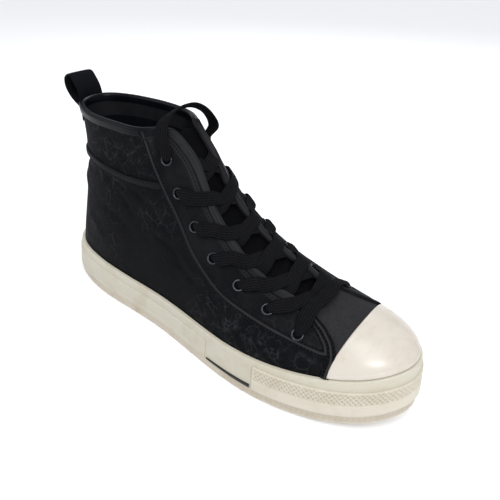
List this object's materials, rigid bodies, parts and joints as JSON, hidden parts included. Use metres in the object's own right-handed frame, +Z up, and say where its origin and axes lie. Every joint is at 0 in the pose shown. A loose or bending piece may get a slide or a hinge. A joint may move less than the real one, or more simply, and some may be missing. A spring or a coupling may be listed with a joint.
{
  "type": "high top sneaker",
  "caption": "High top sneaker with a black leather upper, cream rubber toe cap and cupped sole, flat laces through metal eyelets, and a heel pull loop.",
  "frame": {"origin": "on the floor, under the middle of the shoe's length and width", "axes": "+X from the heel to the toe, +Y the wearer's left, which is this left shoe's outer side, +Z up"},
  "size_m": [0.3025, 0.1001, 0.1626],
  "materials": {
    "cream_rubber": "satin cream rubber, lightly scuffed",
    "black_rubber": "matte black rubber line",
    "black_leather": "semi-matte black leather with a fine grain",
    "black_trim": "glossy black folded edge",
    "black_lining": "matte black woven lining",
    "black_webbing": "matte black ribbed webbing",
    "gunmetal": "dark satin metal"
  },
  "bodies": {
    "root": {"ankle_band": "black_leather", "collar_binding": "black_trim", "eyelet_lateral_1": "gunmetal", "eyelet_lateral_2": "gunmetal", "eyelet_lateral_3": "gunmetal", "eyelet_lateral_4": "gunmetal", "eyelet_lateral_5": "gunmetal", "eyelet_lateral_6": "gunmetal", "eyelet_lateral_7": "gunmetal", "eyelet_medial_1": "gunmetal", "eyelet_medial_2": "gunmetal", "eyelet_medial_3": "gunmetal", "eyelet_medial_4": "gunmetal", "eyelet_medial_5": "gunmetal", "eyelet_medial_6": "gunmetal", "eyelet_medial_7": "gunmetal", "eyestay_lateral": "black_leather", "eyestay_medial": "black_leather", "foxing": "cream_rubber", "heel_strip": "cream_rubber", "insole": "black_lining", "lace_bar": "black_webbing", "lace_cross_1": "black_webbing", "lace_cross_2": "black_webbing", "lace_cross_3": "black_webbing", "lace_cross_4": "black_webbing", "lace_cross_5": "black_webbing", "lace_cross_6": "black_webbing", "lace_top": "black_webbing", "midsole": "cream_rubber", "outsole": "cream_rubber", "pull_loop": "black_webbing", "side_stripe_lateral": "black_rubber", "side_stripe_medial": "black_rubber", "throat_binding": "black_trim", "toe_bumper": "cream_rubber", "toe_cap": "cream_rubber", "tongue": "black_lining", "upper": "black_leather"}
  },
  "joints": []
}
